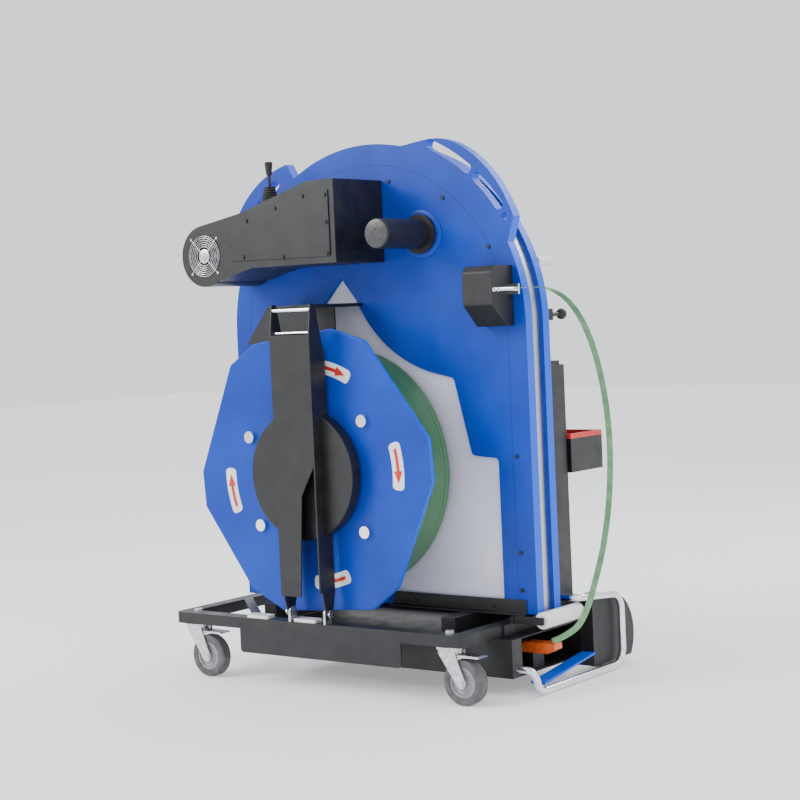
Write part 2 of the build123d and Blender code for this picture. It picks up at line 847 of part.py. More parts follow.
# ---------------------------------------------------------------- strap box and strap
box_front = cover_front - box_depth
box_mid_x = box_left + box_width / 2
with BuildPart() as strap_box:
    with BuildSketch(Plane.YZ.offset(box_left)) as side:
        Polygon(
            (cover_front, box_bottom),
            (cover_front, box_bottom + box_height),
            (box_front + 14, box_bottom + box_height),
            (box_front, box_bottom + box_height - 14),
            (box_front, box_bottom + 52),
            (cover_front - 34, box_bottom),
            align=None,
        )
    extrude(side.sketch, amount=box_width)
    fillet(strap_box.edges().filter_by(Axis.X).sort_by(Axis.Y)[:3], 10)
save(strap_box.part, "strap_box")

# two bright guide pins beside the box, in a small plate
pin_z = 958.0
pin_x = [box_left + box_width + 12, box_left + box_width + 24]
with BuildPart() as exit_pins:
    bar(box_left + box_width, pin_x[1] + 8, cover_front - 26, cover_front - 20, pin_z - 12, pin_z + 12)
    for x in pin_x:
        with BuildSketch(Plane.XZ.offset(-(cover_front - 20 - pin_length))) as pin:
            with Locations((x, pin_z)):
                Circle(pin_radius)
        extrude(pin.sketch, amount=-(pin_length - 3))
save(exit_pins.part, "exit_pins")

# free strap: from between the pins, over in a wide arc, down to the lance head
strap_points = [
    (pin_x[1] + pin_radius + 3.5, -150.0, pin_z),
    (470.0, -80.0, 962.0),
    (488.0, 0.0, 957.0),
    (502.0, 74.0, 912.0),
    (511.0, 134.0, 825.0),
    (516.0, 176.0, 700.0),
    (518.0, 190.0, 570.0),
    (518.0, 178.0, 440.0),
    (518.0, 140.0, 320.0),
    (517.0, 88.0, 230.0),
    (516.0, 50.0, 172.0),
    (506.0, 8.0, 128.0),
    (head_right - 12.0, chain_y - 6.0, chain_z + head_height / 2 + strap_radius + air),
]


def corner_radii(points):
    """Largest fair radius at each inner point of a route."""
    radii = []
    for before, here, after in zip(points, points[1:], points[2:]):
        first = Vector(*here) - Vector(*before)
        second = Vector(*after) - Vector(*here)
        half_turn = math.radians(first.get_angle(second)) / 2
        radii.append(0.45 * min(first.length, second.length) / math.tan(half_turn))
    return radii


strap_radii = corner_radii(strap_points)
print("strap radii", [round(radius) for radius in strap_radii])
with BuildPart() as strap_tail:
    with BuildLine() as strap_path:
        FilletPolyline(*strap_points, radius=strap_radii)
    strap_wire = strap_path.wire()
    with BuildSketch(Plane(origin=strap_wire @ 0, z_dir=strap_wire % 0)) as section:
        Circle(strap_radius)
    sweep(section.sketch, path=strap_wire)
strap_area = math.pi * strap_radius**2
print("strap length", round(strap_wire.length))
print("strap volume over section times length", round(strap_tail.part.volume / (strap_area * strap_wire.length), 4))
save(strap_tail.part, "strap_tail")

# ---------------------------------------------------------------- castors
race_radius = 34.0
race_height = 6.0
race_bottom = rail_bottom - race_height
fork_top = race_bottom - air
fork_height = 10.0
nut_top = fork_top - fork_height - air
pedal_height = 5.0
pedal_pivot = 26.0
pedal_z = fork_top - fork_height - 7.0

with BuildPart() as castor_stems:
    for x in castor_x:
        with Locations((x, castor_y, race_bottom)):
            Cylinder(race_radius, race_height, align=(Align.CENTER, Align.CENTER, Align.MIN))
        with Locations((x, castor_y, nut_top - 6)):
            Cylinder(stem_radius, rail_top + 6 - nut_top + 6, align=(Align.CENTER, Align.CENTER, Align.MIN))
            Cylinder(10, 6, align=(Align.CENTER, Align.CENTER, Align.MIN))
        with BuildSketch(Plane.XY.offset(rail_top)) as head:
            with Locations((x, castor_y)):
                RegularPolygon(11, 6)
        extrude(head.sketch, amount=7)
save(castor_stems.part, "castor_stems")

for side, x in zip(("left", "right"), castor_x):
    wheel_x = x + castor_trail
    leg_out = fork_inside / 2 + fork_sheet
    with BuildPart() as fork:
        with Locations((x, castor_y, fork_top - fork_height)):
            Cylinder(30, fork_height, align=(Align.CENTER, Align.CENTER, Align.MIN))
        bar(x - 22, x + 26, castor_y - leg_out, castor_y + leg_out, fork_top - fork_height, fork_top - 4)
        for y in (castor_y - leg_out, castor_y + leg_out - fork_sheet):
            with BuildSketch(Plane.XZ.offset(-y)) as leg:
                Polygon(
                    (x - 22, fork_top - fork_height + 1),
                    (x + 26, fork_top - fork_height + 1),
                    (wheel_x + 13, castor_radius),
                    (wheel_x - 13, castor_radius - 4),
                    align=None,
                )
                with Locations((wheel_x, castor_radius)):
                    Circle(13)
            extrude(leg.sketch, amount=-fork_sheet)
        with BuildSketch(Plane.XZ.offset(-(castor_y - leg_out - 4))) as axle:
            with Locations((wheel_x, castor_radius)):
                Circle(axle_radius)
        extrude(axle.sketch, amount=-(2 * leg_out + 8))
        for y in (castor_y - leg_out - 4, castor_y + leg_out):
            with BuildSketch(Plane.XZ.offset(-y)) as nut:
                with Locations((wheel_x, castor_radius)):
                    RegularPolygon(9, 6)
            extrude(nut.sketch, amount=-4)
        with Locations((x, castor_y, fork_top - fork_height / 2)):
            Cylinder(stem_radius + run_gap, fork_height + 2, mode=Mode.SUBTRACT)
        with BuildSketch(Plane.XZ.offset(-(castor_y - leg_out - 1))) as pedal_bore:
            with Locations((x + pedal_pivot - 8, pedal_z)):
                Circle(3 + run_gap)
        extrude(pedal_bore.sketch, amount=-(2 * leg_out + 2), mode=Mode.SUBTRACT)
    save(fork.part, f"{side}_castor_fork")

    with BuildPart() as hub:
        with BuildSketch(Plane.XZ.offset(-(castor_y - castor_width / 2 + 2))) as rim:
            with Locations((wheel_x, castor_radius)):
                Circle(castor_hub_radius)
                Circle(axle_radius + run_gap, mode=Mode.SUBTRACT)
        extrude(rim.sketch, amount=-(castor_width - 4))
        for y, grow in ((castor_y - castor_width / 2 + 2, -1), (castor_y + castor_width / 2 - 2, 1)):
            with BuildSketch(Plane.XZ.offset(-y)) as dish:
                with Locations((wheel_x, castor_radius)):
                    Circle(castor_hub_radius - 6)
                    Circle(12, mode=Mode.SUBTRACT)
            extrude(dish.sketch, amount=grow * 3, mode=Mode.SUBTRACT)
    save(hub.part, f"{side}_castor_hub")

    with BuildPart() as tyre:
        with BuildSketch(Plane.XZ.offset(-(castor_y - castor_width / 2))) as tread:
            with Locations((wheel_x, castor_radius)):
                Circle(castor_radius)
                Circle(castor_hub_radius, mode=Mode.SUBTRACT)
        extrude(tread.sketch, amount=-castor_width)
        fillet(tyre.edges().filter_by(GeomType.CIRCLE).sort_by(SortBy.RADIUS)[-2:], 6)
    save(tyre.part, f"{side}_castor_tyre")

    # brake pedal, hinged in the fork above the tyre
    with BuildPart() as pedal:
        with BuildSketch(Plane.XZ.offset(-(castor_y - fork_inside / 2 + air))) as lever:
            with Locations((x + pedal_pivot - 8, pedal_z)):
                Circle(5)
            Polygon(
                (x + pedal_pivot - 8, pedal_z + 5),
                (x + castor_trail + 46, pedal_z + 5),
                (x + castor_trail + 52, pedal_z + 2),
                (x + castor_trail + 48, pedal_z),
                (x + pedal_pivot - 8, pedal_z),
                align=None,
            )
        extrude(lever.sketch, amount=-(fork_inside - 2 * air))
        with BuildSketch(Plane.XZ.offset(-(castor_y - leg_out))) as pivot:
            with Locations((x + pedal_pivot - 8, pedal_z)):
                Circle(3)
        extrude(pivot.sketch, amount=-(2 * leg_out))
    save(pedal.part, f"{side}_castor_pedal")

# ---------------------------------------------------------------- rear wheels and their guards
for side, x in (("left", -rear_wheel_x), ("right", rear_wheel_x)):
    with BuildPart() as guard:
        inner = guard_radius - guard_sheet
        with BuildSketch(Plane.YZ.offset(x - guard_width / 2)) as shell:
            with Locations((rear_wheel_y, rear_radius)):
                Circle(guard_radius)
            with Locations(((base_back + rear_wheel_y) / 2, rear_radius + 30)):
                Rectangle(rear_wheel_y - base_back, 160)
            with Locations((rear_wheel_y, rear_radius - 58 - guard_radius / 2)):
                Rectangle(3 * guard_radius, guard_radius, mode=Mode.SUBTRACT)
            with Locations((base_back - guard_radius, rear_radius)):
                Rectangle(2 * guard_radius, 4 * guard_radius, mode=Mode.SUBTRACT)
        extrude(shell.sketch, amount=guard_width)
        with BuildSketch(Plane.YZ.offset(x - guard_width / 2 + guard_sheet)) as hollow:
            with Locations((rear_wheel_y, rear_radius)):
                Circle(inner)
            with Locations(((base_back + guard_sheet + rear_wheel_y) / 2, rear_radius + 22)):
                Rectangle(rear_wheel_y - base_back - guard_sheet, 160)
            with Locations((rear_wheel_y - 10, rear_radius - 58)):
                Rectangle(2 * inner - 24, 60)
            with Locations((base_back + guard_sheet - guard_radius, rear_radius)):
                Rectangle(2 * guard_radius, 4 * guard_radius, mode=Mode.SUBTRACT)
        extrude(hollow.sketch, amount=guard_width - 2 * guard_sheet, mode=Mode.SUBTRACT)
        with BuildSketch(Plane.YZ.offset(x - guard_width / 2)) as axle:
            with Locations((rear_wheel_y, rear_radius)):
                Circle(rear_axle_radius)
        extrude(axle.sketch, amount=guard_width)
    save(guard.part, f"{side}_wheel_guard")

    with BuildPart() as wheel:
        with BuildSketch(Plane.YZ.offset(x - rear_width / 2)) as tread:
            with Locations((rear_wheel_y, rear_radius)):
                Circle(rear_radius)
                Circle(rear_axle_radius + run_gap, mode=Mode.SUBTRACT)
        extrude(tread.sketch, amount=rear_width)
        for face_x, grow in ((x - rear_width / 2, 1), (x + rear_width / 2, -1)):
            with BuildSketch(Plane.YZ.offset(face_x)) as dish:
                with Locations((rear_wheel_y, rear_radius)):
                    Circle(rear_hub_radius)
                    Circle(18, mode=Mode.SUBTRACT)
            extrude(dish.sketch, amount=grow * 8, mode=Mode.SUBTRACT)
        fillet(wheel.edges().filter_by(GeomType.CIRCLE).sort_by(SortBy.RADIUS)[-2:], 6)
    save(wheel.part, f"{side}_rear_wheel")

# ---------------------------------------------------------------- chain lance
chain_end = head_right - head_length
with BuildPart() as lance_chain:
    for index in range(link_count):
        link_x = chain_end - link_pitch * (index + 0.5)
        wide = link_width if index % 2 else link_width - 4
        with Locations((link_x, chain_y, chain_z)):
            Box(link_pitch, wide, head_height)
    fillet(lance_chain.edges().filter_by(Axis.Z).group_by(Axis.X)[0], 3)
save(lance_chain.part, "lance_chain")

with BuildPart() as lance_head:
    with BuildSketch(Plane.XZ.offset(-(chain_y - head_width / 2))) as profile:
        Polygon(
            (chain_end, chain_z - head_height / 2),
            (head_right - 22, chain_z - head_height / 2),
            (head_right, chain_z - 2),
            (head_right, chain_z + head_height / 2),
            (chain_end + 14, chain_z + head_height / 2),
            (chain_end, chain_z + head_height / 2 - 8),
            align=None,
        )
    extrude(profile.sketch, amount=-head_width)
    with Locations((head_right - 34, chain_y, chain_z)):
        Box(10, head_width - 12, head_height + 2, mode=Mode.SUBTRACT)
save(lance_head.part, "lance_head")

with BuildPart() as battery:
    bar(-230.0, 20.0, trough_front + 14, trough_front + 102, trough_bottom + trough_sheet, rail_bottom - 12)
    fillet(battery.edges().filter_by(Axis.Z), 6)
save(battery.part, "battery")

# ---------------------------------------------------------------- outlet roller, ramp and bumper loop
with BuildPart() as outlet_roller:
    with BuildSketch(Plane.XZ.offset(-roller_near)) as tube:
        with Locations((roller_x, roller_z)):
            Circle(roller_radius)
            Circle(spindle_radius + run_gap, mode=Mode.SUBTRACT)
    extrude(tube.sketch, amount=-(roller_far - roller_near))
    fillet(outlet_roller.edges().filter_by(GeomType.CIRCLE).sort_by(SortBy.RADIUS)[-2:], 4)
save(outlet_roller.part, "outlet_roller")

bumper_points = [
    (trough_right, bumper_near, bumper_start),
    (bumper_x, bumper_near, bumper_start),
    (bumper_x, bumper_near + 24, bumper_low),
    (bumper_x, bumper_far, bumper_low),
    (bumper_x, bumper_far, bumper_corner),
    (bumper_x, bumper_turn, bumper_high),
    (column_x + column_width / 2, bumper_turn, bumper_high),
]
with BuildPart() as bumper_loop:
    with BuildLine() as loop_line:
        FilletPolyline(*bumper_points, radius=[22, 30, 40, 44, 22])
    loop_wire = loop_line.wire()
    with BuildSketch(Plane(origin=loop_wire @ 0, z_dir=loop_wire % 0)) as section:
        Circle(bumper_radius)
    sweep(section.sketch, path=loop_wire)
save(bumper_loop.part, "bumper_loop")

ramp_sheet = 5.0
ramp_left = trough_right + 0.3
ramp_near = -105.0
ramp_far = base_back - 6.0
ramp_low = bumper_low + bumper_radius
ramp_high = 52.0
with BuildPart() as outlet_ramp:
    with BuildSketch(Plane.YZ.offset(ramp_left)) as slope:
        Polygon(
            (ramp_near, ramp_low),
            (ramp_far, ramp_high),
            (ramp_far, ramp_high + ramp_sheet),
            (ramp_near, ramp_low + ramp_sheet),
            align=None,
        )
    extrude(slope.sketch, amount=bumper_x - bumper_radius - 1.0 - ramp_left)
save(outlet_ramp.part, "outlet_ramp")

# ---------------------------------------------------------------- tool column
column_left = column_x - column_width / 2
column_right = column_x + column_width / 2
column_back = column_front + column_depth
slit = 24.0
with BuildPart() as tool_column:
    with BuildSketch(Plane.XY.offset(column_bottom)) as profile:
        with Locations((column_x, (column_front + column_back) / 2)):
            Rectangle(column_width, column_depth)
            Rectangle(column_width - 2 * column_sheet, column_depth - 2 * column_sheet, mode=Mode.SUBTRACT)
        with Locations((column_x, column_back)):
            Rectangle(slit, 3 * column_sheet, mode=Mode.SUBTRACT)
    extrude(profile.sketch, amount=column_top - column_bottom)
    bar(column_left + 8, column_right - 8, column_front, column_back - 8, column_top, column_top + 10)
    bar(column_left + 18, column_right - 18, column_front, column_back - 32, column_top + 10, column_top + 54)
save(tool_column.part, "tool_column")

carriage_height = 70.0
slide_gap = 0.3
with BuildPart() as tool_carriage:
    bar(
        column_left + column_sheet + slide_gap,
        column_right - column_sheet - slide_gap,
        column_back - column_sheet - 30,
        column_back - column_sheet - slide_gap,
        carriage_z - carriage_height / 2,
        carriage_z + carriage_height / 2,
    )
    bar(
        column_x - slit / 2 + slide_gap,
        column_x + slit / 2 - slide_gap,
        column_back - column_sheet - 1,
        column_back + 6,
        carriage_z - carriage_height / 2,
        carriage_z + carriage_height / 2,
    )
save(tool_carriage.part, "tool_carriage")

tray_front = column_back + 6.0
tray_top = carriage_z + 44.0
tray_left = column_right + 8 - tray_width
with BuildPart() as tool_tray:
    bar(tray_left, tray_left + tray_width, tray_front, tray_front + tray_length, tray_top - tray_height, tray_top)
    with Locations((tray_left + tray_width / 2, tray_front + tray_length / 2, tray_top - tray_height + tray_sheet)):
        Box(
            tray_width - 2 * tray_sheet,
            tray_length - 2 * tray_sheet,
            tray_height,
            align=(Align.CENTER, Align.CENTER, Align.MIN),
            mode=Mode.SUBTRACT,
        )
save(tool_tray.part, "tool_tray")

with BuildPart() as tray_rim:
    with BuildSketch(Plane.XY.offset(tray_top)) as rim:
        with Locations((tray_left + tray_width / 2, tray_front + tray_length / 2)):
            Rectangle(tray_width, tray_length)
            Rectangle(tray_width - 12, tray_length - 12, mode=Mode.SUBTRACT)
    extrude(rim.sketch, amount=rim_height)
save(tray_rim.part, "tray_rim")

# rest bar and catch knob on the back of the rear plate
with BuildPart() as rest_bar:
    with BuildSketch(Plane.XZ.offset(-rear_back)) as bar_end:
        with Locations((432.0, 1024.0)):
            Circle(12)
    extrude(bar_end.sketch, amount=-60)
save(rest_bar.part, "rest_bar")

knob_x = 446.0
knob_z = 894.0
knob_reach = 85.0
knob_radius = 13.5
with BuildPart() as catch_knob:
    bar(knob_x - 11, knob_x + 11, rear_back, rear_back + 30, knob_z - 14, knob_z + 14)
    with BuildSketch(Plane.XZ.offset(-rear_back)) as stem:
        with Locations((knob_x, knob_z)):
            Circle(5)
    extrude(stem.sketch, amount=-knob_reach)
    with Locations((knob_x, rear_back + knob_reach, knob_z)):
        Sphere(knob_radius)
save(catch_knob.part, "catch_knob")
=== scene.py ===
import math

import bmesh
import bpy
from mathutils import Matrix, Vector


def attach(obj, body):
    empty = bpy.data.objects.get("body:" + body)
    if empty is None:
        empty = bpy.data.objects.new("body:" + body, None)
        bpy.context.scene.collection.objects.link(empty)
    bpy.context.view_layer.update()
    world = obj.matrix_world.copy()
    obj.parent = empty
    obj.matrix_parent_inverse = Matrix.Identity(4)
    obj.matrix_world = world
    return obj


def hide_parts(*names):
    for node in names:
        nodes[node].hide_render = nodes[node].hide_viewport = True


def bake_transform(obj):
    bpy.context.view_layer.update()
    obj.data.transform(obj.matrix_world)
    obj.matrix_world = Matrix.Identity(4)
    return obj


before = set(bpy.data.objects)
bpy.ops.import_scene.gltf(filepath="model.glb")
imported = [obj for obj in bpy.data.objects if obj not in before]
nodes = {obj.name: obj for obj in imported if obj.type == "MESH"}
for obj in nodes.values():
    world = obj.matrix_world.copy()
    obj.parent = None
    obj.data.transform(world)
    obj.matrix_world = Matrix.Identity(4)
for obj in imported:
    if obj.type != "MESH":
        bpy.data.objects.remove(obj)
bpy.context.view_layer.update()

# ------------------------------------------------------------ camera
# Standing height beside the coil, looking at the machine's front right corner.
# A long lens keeps the upright plates nearly parallel.
turn = math.radians(37.1)
dip = math.radians(2.7)
tilt = math.radians(-2.54)
ahead = Vector((-math.sin(turn) * math.cos(dip), math.cos(turn) * math.cos(dip), -math.sin(dip)))
level = Vector((math.cos(turn), math.sin(turn), 0))
upright = level.cross(ahead)
across = level * math.cos(tilt) + upright * math.sin(tilt)
up = upright * math.cos(tilt) - level * math.sin(tilt)
lens = bpy.data.cameras.new("camera")
lens.sensor_width = 36
lens.lens = 80.2
lens.clip_end = 60
camera = bpy.data.objects.new("camera", lens)
stand = Matrix.Translation((2.7575, -3.6241, 0.9066))
camera.matrix_world = stand @ Matrix((across, up, -ahead)).transposed().to_4x4()
bpy.context.scene.collection.objects.link(camera)
bpy.context.scene.camera = camera

# ------------------------------------------------------------ free strap
# One length of embossed green polyester strap, 15 mm wide, from the exit pins
# of the strap box over the edge of the plates and down into the lance head.
strap_width = 0.015
strap_thickness = 0.0011
strap_route = [
    (0.4655, -0.150, 0.958),
    (0.470, -0.080, 0.962),
    (0.488, 0.000, 0.957),
    (0.502, 0.074, 0.912),
    (0.511, 0.134, 0.825),
    (0.516, 0.176, 0.700),
    (0.518, 0.190, 0.570),
    (0.518, 0.178, 0.440),
    (0.518, 0.140, 0.320),
    (0.517, 0.088, 0.230),
    (0.516, 0.050, 0.172),
    (0.506, 0.008, 0.128),
    (0.474, -0.0425, 0.1124),
]


def surface(name, roughness, metallic=0.0, specular=0.5):
    """A new finish with its principled shader, ready for a colour, a grain and a polish."""
    made = bpy.data.materials.new(name)
    made.use_nodes = True
    shader = made.node_tree.nodes["Principled BSDF"]
    shader.inputs["Roughness"].default_value = roughness
    shader.inputs["Metallic"].default_value = metallic
    shader.inputs["Specular IOR Level"].default_value = specular
    return made


def node(finish, kind, **settings):
    """One more node in a finish. A setting whose name is a number or a socket goes to that socket."""
    made = finish.node_tree.nodes.new("ShaderNode" + kind)
    for key, value in settings.items():
        if hasattr(made, key):
            setattr(made, key, value)
        else:
            made.inputs[key.replace("_", " ").title()].default_value = value
    return made


def join(finish, start, end):
    """Links one node's output to another's input: each end is (node, socket)."""
    finish.node_tree.links.new(start[0].outputs[start[1]], end[0].inputs[end[1]])


def shader_of(finish):
    return finish.node_tree.nodes["Principled BSDF"]


def place_of(finish, stretch=(1, 1, 1)):
    """The place on the machine in metres, stretched along each axis, as a texture's input."""
    where = node(finish, "TexCoord")
    scaled = node(finish, "Mapping")
    scaled.inputs["Scale"].default_value = stretch
    join(finish, (where, "Object"), (scaled, "Vector"))
    return scaled


def mottle(finish, dark, light, size, stretch=(1, 1, 1), low=0.35, high=0.65):
    """Base colour that wanders between two shades in patches of that size."""
    patches = node(finish, "TexNoise", scale=1 / size, detail=4.0)
    join(finish, (place_of(finish, stretch), "Vector"), (patches, "Vector"))
    shades = node(finish, "ValToRGB")
    shades.color_ramp.elements[0].position = low
    shades.color_ramp.elements[0].color = (*dark, 1)
    shades.color_ramp.elements[1].position = high
    shades.color_ramp.elements[1].color = (*light, 1)
    join(finish, (patches, "Fac"), (shades, "Fac"))
    join(finish, (shades, "Color"), (shader_of(finish), "Base Color"))
    return shades


def polish(finish, smooth, rough, size, stretch=(1, 1, 1)):
    """Roughness that wanders between two values, as rubbed and dull patches do."""
    patches = node(finish, "TexNoise", scale=1 / size, detail=3.0)
    join(finish, (place_of(finish, stretch), "Vector"), (patches, "Vector"))
    spread = node(finish, "MapRange")
    spread.inputs["From Min"].default_value = 0.3
    spread.inputs["From Max"].default_value = 0.7
    spread.inputs["To Min"].default_value = smooth
    spread.inputs["To Max"].default_value = rough
    join(finish, (patches, "Fac"), (spread, "Value"))
    join(finish, (spread, "Result"), (shader_of(finish), "Roughness"))


def grain(finish, size, depth, stretch=(1, 1, 1), strength=1.0, edge=0.0):
    """Bump of that grain size and depth in metres, over edges rounded to the radius edge."""
    bumps = node(finish, "TexNoise", scale=1 / size, detail=3.0)
    join(finish, (place_of(finish, stretch), "Vector"), (bumps, "Vector"))
    relief = node(finish, "Bump")
    relief.inputs["Strength"].default_value = strength
    relief.inputs["Distance"].default_value = depth
    join(finish, (bumps, "Fac"), (relief, "Height"))
    if edge:
        rounded = node(finish, "Bevel", samples=4)
        rounded.inputs["Radius"].default_value = edge
        join(finish, (rounded, "Normal"), (relief, "Normal"))
    join(finish, (relief, "Normal"), (shader_of(finish), "Normal"))
    return relief


def piece(name, body, mesh_or_bm, finish, smooth_angle=35):
    """A mesh object in the row frame that rides on a body, smooth except where it bends sharply."""
    mesh = mesh_or_bm
    if isinstance(mesh_or_bm, bmesh.types.BMesh):
        bmesh.ops.recalc_face_normals(mesh_or_bm, faces=mesh_or_bm.faces)
        mesh = bpy.data.meshes.new(name)
        mesh_or_bm.to_mesh(mesh)
        mesh_or_bm.free()
    mesh.shade_smooth()
    mesh.set_sharp_from_angle(angle=math.radians(smooth_angle))
    mesh.materials.clear()
    mesh.materials.append(finish)
    made = bpy.data.objects.new(name, mesh)
    bpy.context.scene.collection.objects.link(made)
    if body:
        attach(made, body)
    return made


def line_of(name, points):
    """The smooth line that a route's points steer, as closely spaced points."""
    path = bpy.data.curves.new(name, "CURVE")
    path.dimensions = "3D"
    path.resolution_u = 12
    spline = path.splines.new("NURBS")
    spline.points.add(len(points) - 1)
    for handle, point in zip(spline.points, points):
        handle.co = (*point, 1)
    spline.order_u = 3
    spline.use_endpoint_u = True
    holder = bpy.data.objects.new(name, path)
    mesh = bpy.data.meshes.new_from_object(holder)
    line = [vertex.co.copy() for vertex in mesh.vertices]
    bpy.data.objects.remove(holder)
    return line


def tape(line, width, thickness, sides):
    """A flat tape along a line. sides gives the direction of its width at the start and the end."""
    bm = bmesh.new()
    rows = []
    for index, point in enumerate(line):
        before = line[max(index - 1, 0)]
        after = line[min(index + 1, len(line) - 1)]
        along = (after - before).normalized()
        side = sides[0].lerp(sides[1], index / (len(line) - 1))
        side = (side - along * side.dot(along)).normalized() * width / 2
        out = along.cross(side).normalized() * thickness / 2
        corners = ((1, 1), (-1, 1), (-1, -1), (1, -1))
        rows.append([bm.verts.new(point + a * side + b * out) for a, b in corners])
    for low, high in zip(rows, rows[1:]):
        for corner in range(4):
            bm.faces.new((low[corner], low[corner - 3], high[corner - 3], high[corner]))
    bm.faces.new(rows[0])
    bm.faces.new(reversed(rows[-1]))
    return bm


strap_green = surface("strap_green", 0.35, specular=0.6)
shader_of(strap_green).inputs["Coat Weight"].default_value = 0.25
mottle(strap_green, (0.075, 0.22, 0.085), (0.15, 0.36, 0.15), 0.03)
emboss = node(strap_green, "TexChecker", scale=420.0)
join(strap_green, (place_of(strap_green), "Vector"), (emboss, "Vector"))
pressed = node(strap_green, "Bump")
pressed.inputs["Strength"].default_value = 0.35
pressed.inputs["Distance"].default_value = 0.0004
join(strap_green, (emboss, "Fac"), (pressed, "Height"))
join(strap_green, (pressed, "Normal"), (shader_of(strap_green), "Normal"))
strap_line = line_of("strap_line", strap_route)
strap_length = sum((b - a).length for a, b in zip(strap_line, strap_line[1:]))
strap_sides = (Vector((1, 0.1, 0.0)), Vector((0.55, 0.8, 0.2)))
strap_tape = tape(strap_line, strap_width, strap_thickness, strap_sides)
free_strap = piece("free_strap", None, strap_tape, strap_green)
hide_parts("strap_tail")
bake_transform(free_strap)

# ------------------------------------------------------------ guide plates
# Three upright sheets of blue polyethylene, milled to an arch with hand slots in
# the ears. The band of bright steel between them closes the chain channel.
plate_x = 0.0075
arch_z = 0.879


def level_of(finish, value, low, high):
    """1 where value lies between low and high, else 0."""
    above = node(finish, "Math", operation="GREATER_THAN")
    above.inputs[1].default_value = low
    below = node(finish, "Math", operation="LESS_THAN")
    below.inputs[1].default_value = high
    both = node(finish, "Math", operation="MULTIPLY")
    join(finish, (value, 0), (above, 0))
    join(finish, (value, 0), (below, 0))
    join(finish, (above, 0), (both, 0))
    join(finish, (below, 0), (both, 1))
    return both


def overlay(finish, under, mask, colour):
    """Lays a colour over another colour node where the mask is 1, and feeds the shader."""
    mix = node(finish, "Mix", data_type="RGBA")
    join(finish, (mask, 0), (mix, "Factor"))
    join(finish, (under, "Color" if "Color" in under.outputs else 2), (mix, 6))
    mix.inputs[7].default_value = (*colour, 1)
    join(finish, (mix, 2), (shader_of(finish), "Base Color"))
    return mix


def painted_edge_highlight(finish, under, colour):
    """The cut edge of a sheet that lies across Y is painted a lighter blue than its rolled faces: a painted
    highlight.
    """
    where = node(finish, "TexCoord")
    parts = node(finish, "SeparateXYZ")
    join(finish, (where, "Normal"), (parts, "Vector"))
    size = node(finish, "Math", operation="ABSOLUTE")
    join(finish, (parts, "Y"), (size, 0))
    return overlay(finish, under, level_of(finish, size, -0.1, 0.7), colour)


def blue_sheet(name):
    made = surface(name, 0.36, specular=0.28)
    faces = mottle(made, (0.0015, 0.034, 0.34), (0.003, 0.048, 0.43), 0.16)
    # painted highlight: the cut edges get a brighter blue than the faces
    edges = painted_edge_highlight(made, faces, (0.003, 0.10, 0.76))
    polish(made, 0.30, 0.44, 0.05)
    grain(made, 0.0016, 0.00012, edge=0.0018)
    return made, edges


def finish_nodes(finish, *names):
    """Gives CAD nodes their finish."""
    for name in names:
        slots = nodes[name].data.materials
        slots.clear()
        slots.append(finish)


plain_blue, _ = blue_sheet("blue_sheet")
finish_nodes(plain_blue, "front_guide_plate", "rear_guide_plate")
cover_blue, cover_edge_highlight = blue_sheet("cover_sheet")

# a shallow line cut all round the cover, 52 mm in from its edge, painted as a thin dark ring of shade
where = node(cover_blue, "TexCoord")
parts = node(cover_blue, "SeparateXYZ")
join(cover_blue, (where, "Object"), (parts, "Vector"))
aside = node(cover_blue, "Math", operation="SUBTRACT")
aside.inputs[1].default_value = plate_x
join(cover_blue, (parts, "X"), (aside, 0))
above = node(cover_blue, "Math", operation="SUBTRACT")
above.inputs[1].default_value = arch_z
join(cover_blue, (parts, "Z"), (above, 0))
upper = node(cover_blue, "Math", operation="MAXIMUM")
upper.inputs[1].default_value = 0.0
join(cover_blue, (above, 0), (upper, 0))
flat = node(cover_blue, "CombineXYZ")
join(cover_blue, (aside, 0), (flat, "X"))
join(cover_blue, (upper, 0), (flat, "Z"))
reach = node(cover_blue, "VectorMath", operation="LENGTH")
join(cover_blue, (flat, "Vector"), (reach, 0))
distance = node(cover_blue, "Math", operation="ADD")
distance.inputs[1].default_value = 0.0
join(cover_blue, (reach, "Value"), (distance, 0))
# painted shade: a dark navy ring stands for the shade inside the cut line
overlay(cover_blue, cover_edge_highlight, level_of(cover_blue, distance, 0.4053, 0.4067), (0.001, 0.02, 0.14))
finish_nodes(cover_blue, "front_cover_plate")

brushed = surface("brushed_band", 0.25, metallic=1.0)
mottle(brushed, (0.42, 0.43, 0.45), (0.78, 0.78, 0.79), 0.004, stretch=(1, 14, 0.02), low=0.2, high=0.8)
polish(brushed, 0.16, 0.42, 0.003, stretch=(1, 16, 0.02))
grain(brushed, 0.002, 0.00008, stretch=(1, 20, 0.02))
finish_nodes(brushed, "steel_band")

# ------------------------------------------------------------ white panel
# A thin satin plastic sheet with a faint violet cast, laid in the cover's window
# behind the coil so that the strap slides over it. It is glued at its edge.
panel_white = surface("panel_white", 0.28, specular=0.5)
mottle(panel_white, (0.62, 0.62, 0.78), (0.78, 0.78, 0.90), 0.35)
shader_of(panel_white).inputs["Coat Weight"].default_value = 0.3
grain(panel_white, 0.12, 0.0006)
finish_nodes(panel_white, "white_panel")
